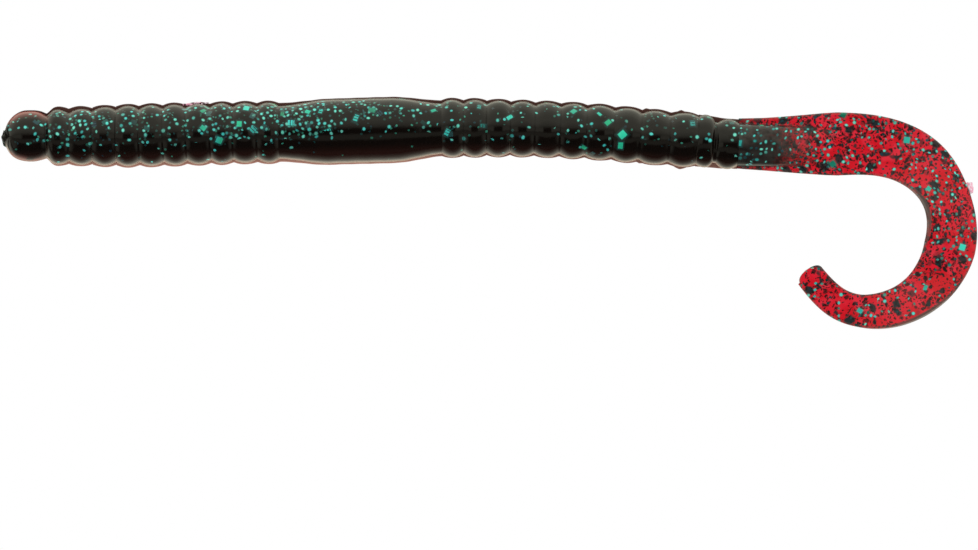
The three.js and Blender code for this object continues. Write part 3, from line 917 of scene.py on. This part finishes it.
def rim_glow(n, colour, glow, side, reach=0.48):
    """Thin edges seen against the light turn pale on the side where nothing lies behind them."""
    geometry = n.node("NewGeometry")
    facing = n.vector("DOT_PRODUCT", geometry.outputs["Normal"], geometry.outputs["Incoming"])
    edge = n.ramp(n.math("ABSOLUTE", facing), reach, 0.12)
    return n.mix(n.times(edge, side), colour, glow)


def finish_material(n, colour, glitter, rest, coat=1.0):
    """Colour and tilted flakes under a clear, wet-looking skin."""
    surface = n.node("BsdfPrincipled")
    n.fill(surface, {"Base Color": colour, "Metallic": n.times(glitter.metal, FLAKE_METAL)})
    n.fill(surface, {"Roughness": 0.42, "Specular IOR Level": 0.0})
    n.fill(surface, {"Coat Weight": coat, "Coat Roughness": 0.12, "Coat IOR": 1.5})
    normal = n.vector("ADD", n.node("NewGeometry").outputs["Normal"], glitter.tilt)
    n.feed(surface.inputs["Normal"], n.vector("NORMALIZE", normal))
    bump = n.node("Bump")
    n.fill(bump, {"Strength": 0.3, "Distance": 0.04 * MM, "Height": n.noise(rest, 1.9, 3.0, 0.6)})
    n.feed(surface.inputs["Coat Normal"], bump.outputs[0])
    n.feed(n.node("OutputMaterial").inputs[0], surface.outputs[0])


def back_material():
    """Near black with teal flakes, which crowd along the top from behind the head to the saddle's end."""
    material, n, rest, skin = start_material("back_plastisol")
    s, arc, _ = n.split(skin)
    colour = n.mix(n.noise(rest, 0.9, 4.0, 0.6), BACK_BLACK, BACK_BROWN)
    colour = n.mix(n.ramp(arc, -2.0, -4.0), colour, BACK_LOW)
    # Painted sheen: the lip along the parting line is painted pale cream on the near-black back.
    glitter = Glitter(n, skin, n.mix(n.attribute("lip"), colour, BACK_LIP_SHEEN))
    on_saddle = n.times(n.ramp(s, 42, 48), n.ramp(s, 66, 60))
    upper, saddle_upper = n.ramp(arc, -2.8, 0.4, 0.1, 1.0), n.ramp(arc, -1.5, 2.2, 0.25, 1.0)
    top = n.times(upper, n.blend(on_saddle, 1.0, saddle_upper))
    crowd = n.times(n.ramp(s, 50, 70, 1.0, 0.3), n.ramp(n.noise(skin, 0.27, 1.0), 0.4, 0.58, 0.4, 1.2))
    crowd = n.times(crowd, n.ramp(s, 5, 9, 0.42, 1.0))
    crowd = n.times(crowd, n.times(top, n.ramp(n.math("ABSOLUTE", arc), 6.4, 4.8, 0.2, 1.0)))
    some = n.times(crowd, 0.6)
    glitter.bright(0.85, 0.19, some, (DEEP_BLUE, DEEP_TEAL))
    glitter.bright(0.8, 0.17, some, (DEEP_TEAL, TEAL), shade=(0.15, 0.5), soft=0.4)
    glitter.bright(2.6, 0.5, n.times(crowd, 0.45), (DEEP_TEAL, DEEP_BLUE), (0.4, 1.4), 0.9, bars=0.36)
    glitter.bright(0.95, 0.22, n.times(crowd, 0.84), (MINT, CYAN), shade=(0.4, 1.2), soft=0.42, halo=0.5)
    large = n.times(n.times(n.ramp(s, 18, 32, 0.0, 0.4), n.ramp(s, 62, 70, 1.0, 0.8)), top)
    glitter.bright(2.7, 0.5, large, (GREEN, CYAN), (0.4, 1.2), 0.95, 0.55, 0.12, bars=0.42, halo=0.4)
    colour = rim_glow(n, glitter.colour, BACK_GLOW, n.ramp(arc, -0.5, -2.5), 0.42)
    colour = rim_glow(n, colour, BACK_SHEEN, n.ramp(arc, 0.5, 2.5, 0.0, 0.75), 0.42)
    nose = n.times(n.ramp(s, 7.5, 5.5), n.ramp(arc, 1.5, 3.2))
    colour = rim_glow(n, colour, HEAD_GLOW, nose, 0.75)
    jaw = n.times(n.ramp(s, 7.0, 5.0), n.ramp(n.noise(rest, 0.5, 2.0), 0.45, 0.6, 0.0, 0.7))
    colour = rim_glow(n, colour, HEAD_GLOW, n.times(jaw, n.ramp(arc, -2.0, -3.4)), 0.7)
    finish_material(n, colour, glitter, rest)
    return material


def belly_material():
    """Dark red brown with few flakes. Painted light brings out its own red in patches on its sides, and makes
    its lip pale when seen from above.
    """
    material, n, rest, skin = start_material("belly_plastisol")
    s, arc, _ = n.split(skin)
    base = n.mix(n.noise(rest, 1.1, 4.0, 0.6), BACK_BLACK, BELLY_BROWN)
    # Painted light: noise patches of the belly's own red, stronger towards its sides, as if lit through the
    # thin plastisol.
    noise_patches = n.ramp(n.noise(rest, 1.3, 4.0, 0.75), 0.5, 0.68)
    low = n.ramp(n.math("ABSOLUTE", arc), 1.8, 4.6, 0.15, 0.85)
    colour = n.mix(n.times(noise_patches, low), base, BELLY_RED_GLOW)
    lip = n.attribute("lip")
    lip_colour = n.mix(n.ramp(s, 5.5, 10), HEAD_LIP, BELLY_LIP)
    # Painted light: seen from above, the lip on the -Y side is painted pale pink, as if lit through from
    # below, less on the rear rings.
    incoming = n.split(n.node("NewGeometry").outputs["Incoming"])
    lit = n.times(n.ramp(arc, -2.0, -4.0), n.ramp(n.math("ABSOLUTE", incoming[2]), 0.6, 0.95))
    lip_colour = n.mix(n.times(lit, n.ramp(s, 60, 68, 1.0, 0.45)), lip_colour, BELLY_LIT_LIP)
    glitter = Glitter(n, skin, n.mix(lip, colour, lip_colour))
    inside = n.math("SUBTRACT", 1.0, lip)
    glitter.dark(0.9, 0.26, n.times(inside, 0.6), NEAR_BLACK)
    glitter.bright(1.1, 0.22, n.times(inside, 0.4), (VIOLET, DEEP_BLUE), shade=(0.4, 1.2))
    glitter.bright(1.3, 0.19, n.times(inside, 0.42), (TEAL, CYAN), shade=(0.2, 0.9))
    glitter.bright(3.4, 0.45, n.times(inside, 0.2), (GREEN, CYAN), (0.2, 0.8), 0.95, 0.5, 0.08, bars=0.4)
    colour = rim_glow(n, glitter.colour, BELLY_GLOW, n.ramp(arc, 0.5, 2.5))
    finish_material(n, colour, glitter, rest)
    return material


def ribbon_material(name, core_colour):
    """Red with black specks and teal flakes. The attribute core turns it into the dark pour, which shows red
    streaks further back."""
    material, n, rest, skin = start_material(name)
    x, y, side = n.split(skin)
    place = n.join(x, n.math("MULTIPLY_ADD", side, 30.0, y), 0.0)
    wobble = n.vector("SUBTRACT", n.noise(place, 1.5, 1.0, output="Color"), (0.5, 0.5, 0.5))
    bent = n.vector("ADD", place, n.vector("SCALE", wobble, scale=0.7))
    red = n.mix(n.ramp(n.noise(rest, 0.22, 2.0), 0.4, 0.6), RIBBON_DEEP, RIBBON_RED)
    red = n.mix(n.ramp(n.noise(rest, 0.45, 1.0), 0.5, 0.7), red, RIBBON_PALE)
    crowd = n.ramp(n.noise(rest, 0.3, 2.0), 0.38, 0.62, 0.4, 1.2)
    specks = Glitter(n, bent, red)
    for cell, half, share, *look in RIBBON_SPECKS:
        specks.dark(cell, half, n.times(crowd, share), *look)

    core = n.attribute("core")
    middle = n.times(core, n.math("SUBTRACT", 1.0, core))
    noise_patches = n.times(n.math("SUBTRACT", n.noise(rest, 1.5, 4.0, 0.7), 0.5), 5.0)
    dark = n.math("MULTIPLY_ADD", middle, noise_patches, core, clamp=True)
    pour = n.mix(n.ramp(n.noise(rest, 0.9, 4.0), 0.3, 0.6, 0.3, 1.0), BACK_BROWN, core_colour)
    streak = n.noise(n.vector("MULTIPLY", rest, (0.35, 1.6, 1.6)), 1.0, 3.0, 0.6)
    along = n.split(rest)[0]
    streak = n.times(n.ramp(streak, 0.52, 0.66, 0.0, 0.8), n.ramp(along, *STREAK_START))
    pour = n.mix(streak, pour, CORE_RED)
    under = n.times(n.ramp(y, *CORE_SHADE_SIDE), n.ramp(along, *CORE_SHADE_END, 0.7, 0.0))
    pour = n.mix(under, pour, NEAR_BLACK)
    beside = n.mix(n.ramp(along, *ROOT_SHADE, 0.8, 0.0), specks.colour, ROOT_RED)
    colour = n.mix(n.ramp(dark, 0.0, 0.9), beside, pour)
    wall = n.attribute("wall")
    # Painted shade and reflection: the ribbon's edge wall turns grey, most where it leans over.
    glitter = Glitter(n, place, n.mix(wall, colour, WALL_GREY))
    glitter.layers = specks.layers
    face = n.times(n.math("SUBTRACT", 1.0, wall), n.ramp(y, -26, -8, 0.6, 1.0))
    few = n.times(face, n.ramp(n.noise(place, 0.35, 1.0), 0.42, 0.6, 0.25, 0.72))
    glitter.bright(0.95, 0.22, n.times(face, 0.4), (DEEP_TEAL, DEEP_BLUE), (0.6, 1.6), soft=0.3)
    glitter.bright(0.95, 0.2, few, (MINT, CYAN), (0.25, 1.25), thinnest=0.55, soft=0.4, halo=0.7)
    glitter.bright(3.3, 0.42, n.times(face, 0.22), (GREEN, CYAN), (0.3, 1.2), 0.95, 0.5, 0.15, halo=0.5)
    finish_material(n, glitter.colour, glitter, rest, coat=0.75)
    return material


def flash_material():
    """Thin torn plastisol that light shines through."""
    material, n, rest, _ = start_material("flash_plastisol")
    specks = Glitter(n, rest, n.mix(n.ramp(n.noise(rest, 3.0, 2.0), 0.45, 0.6), FLASH_PINK, FLASH_WHITE))
    specks.dark(0.75, 0.22, 0.6, NEAR_BLACK, (0.8, 1.0))
    finish_material(n, specks.colour, specks, rest)
    return material


# ---- Stage ----

VIEW_CENTRE = (72.2 * MM, -20.1 * MM)
VIEW_WIDTH = 145.33 * MM
LENS, SENSOR = 200, 36
FLOOR_DROP = 90
TABLE_REACH = 110  # how far out on the -Y side the table is seen at full brightness
TABLE_FALL = 1.6
UNDER_LIGHTS = [
    (-90, 1.0), (-62, 1.0), (-50, 0.12), (-34, 0.10), (-26, 0.85), (-13, 0.6), (-7, 0.03),
    (12, 0.02), (17, 0.22), (24, 0.26), (30, 0.03), (52, 0.05), (66, 1.0),
]  # (y, brightness) of what the belly mirrors
WARMTH = (1.0, 1.0, 0.82)
STUDIO = [
    (-90, 0.05), (-75, 0.02), (-37, 0.015), (-31, 0.2), (-17, 0.2), (-11, 0.02), (2, 0.015),
    (6, 0.1), (10, 0.24), (15, 0.4), (25, 0.55), (38, 0.7), (60, 0.72), (90, 0.9),
]  # (angle from straight up towards +Y, brightness)
FLOOR_SIZE = 40  # metres
NEAREST, FARTHEST = 0.01, 50


def make_world():
    """White to the camera and for soft light. Glossy surfaces see a studio: a wide softbox on the +Y side, a
    dim strip beyond the camera, and a dark wall on the -Y side."""
    world = bpy.data.worlds.new("studio")
    bpy.context.scene.world = world
    world.use_nodes = True
    n = Nodes(world.node_tree)
    x, y, z = n.split(n.node("TexCoord").outputs["Generated"])
    lean = n.math("DEGREES", n.math("ARCTAN2", y, z))
    tall = n.math("SQRT", n.math("ADD", n.times(y, y), n.times(z, z)))
    aside = n.math("DIVIDE", n.math("ABSOLUTE", x), n.math("MAXIMUM", tall, 1e-4))
    light = n.curve(lean, -90, 90, STUDIO)
    overhead = n.times(n.ramp(n.math("ABSOLUTE", lean), 16, 8), n.ramp(aside, 0.34, 0.6, 0.0, 0.4))
    wall = n.times(n.ramp(lean, -30, -38), n.ramp(aside, 0.7, 1.3, 0.0, 0.3))
    light = n.math("MAXIMUM", light, n.math("MAXIMUM", overhead, wall))
    background = n.result("Background", {0: n.in_mirrors(light)})
    n.feed(n.node("OutputWorld").inputs[0], background)


def make_floor():
    """A light table. In reflections it dims away on the -Y side, and from underneath it can't be seen."""
    bpy.ops.mesh.primitive_grid_add(x_subdivisions=2, y_subdivisions=2, size=FLOOR_SIZE)
    floor = bpy.context.object
    floor.name = "light_table"
    floor.location = (*VIEW_CENTRE, -FLOOR_DROP * MM)
    material = bpy.data.materials.new("light_table")
    material.use_nodes = True
    n = Nodes(material.node_tree)
    geometry = n.node("NewGeometry")
    y = n.split(geometry.outputs["Position"])[1]
    away = n.math("MAXIMUM", n.times(y, -1 / (TABLE_REACH * MM)), 1.0)
    first, last = UNDER_LIGHTS[0][0], UNDER_LIGHTS[-1][0]
    seen = n.times(y, 1 / MM)
    under = n.curve(n.math("MINIMUM", n.math("MAXIMUM", seen, first), last), first, last, UNDER_LIGHTS)
    mirrored = n.times(n.math("POWER", away, -TABLE_FALL), under)
    glow = n.node("Emission")
    n.feed(glow.inputs[0], n.in_mirrors(mirrored))
    clear = n.node("BsdfTransparent")
    shown = n.node("MixShader")
    n.fill(shown, {0: geometry.outputs["Backfacing"], 1: glow.outputs[0], 2: clear.outputs[0]})
    n.feed(n.node("OutputMaterial").inputs[0], shown.outputs[0])
    floor.data.materials.append(material)


def make_camera():
    data = bpy.data.cameras.new("camera")
    data.lens, data.sensor_width = LENS, SENSOR
    data.clip_start, data.clip_end = NEAREST, FARTHEST
    camera = bpy.data.objects.new("camera", data)
    camera.location = (*VIEW_CENTRE, VIEW_WIDTH * LENS / SENSOR)
    bpy.context.scene.collection.objects.link(camera)
    bpy.context.scene.camera = camera


def set_look():
    view = bpy.context.scene.view_settings
    view.view_transform, view.look, view.exposure, view.gamma = "Standard", "None", 0, 1


def build():
    materials = {
        "back": back_material(),
        "belly": belly_material(),
        "ribbon": ribbon_material("ribbon_plastisol", BELLY_BROWN),
        "root": ribbon_material("tail_root_plastisol", CORE_BROWN),
        "flash": flash_material(),
    }
    root = CHAIN.index("tail_root")
    for section in range(root):
        body_piece(section, 1, materials["back"])
        body_piece(section, -1, materials["belly"])
    root_end = build_ribbon(materials["ribbon"])
    root_piece(root, 1, materials["root"], root_end)
    root_piece(root, -1, materials["ribbon"], root_end)
    build_marks(materials)


build()
make_world()
make_floor()
make_camera()
set_look()
